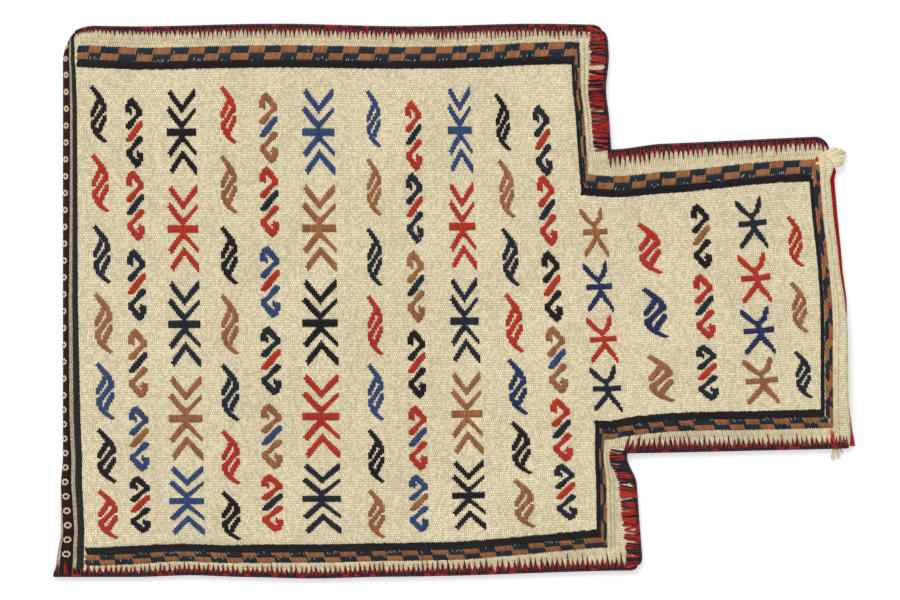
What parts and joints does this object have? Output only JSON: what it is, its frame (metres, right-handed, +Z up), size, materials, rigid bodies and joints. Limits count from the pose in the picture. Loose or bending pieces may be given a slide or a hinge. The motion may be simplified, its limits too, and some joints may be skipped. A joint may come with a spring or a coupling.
{
  "type": "woven salt bag",
  "caption": "Flat-woven wool salt bag lying flat: one cloth folded at the foot and sewn up the sides, with a wide body, a narrower neck and an open mouth.",
  "frame": {"origin": "on the underside that the bag lies on, below the middle of the cloth's length and width", "axes": "+X along the bag from the folded foot to the mouth, +Y across it towards the upper side seam, +Z up out of the figured front panel"},
  "size_m": [0.5639, 0.3863, 0.0139],
  "materials": {
    "wool_cloth": "matt cream plain weave with wrapped figures in black, navy, blue, red and brown wool",
    "overcast_wool": "red and navy wool yarn, closely overcast",
    "sewing_yarn": "frayed cream wool yarn"
  },
  "bodies": {
    "root": {"woven_cloth": "wool_cloth", "upper_side_overcast": "overcast_wool", "upper_shoulder_overcast": "overcast_wool", "upper_neck_overcast": "overcast_wool", "lower_side_overcast": "overcast_wool", "lower_shoulder_overcast": "overcast_wool", "lower_neck_overcast": "overcast_wool", "upper_mouth_tuft": "sewing_yarn", "lower_mouth_tuft": "sewing_yarn"}
  },
  "joints": []
}
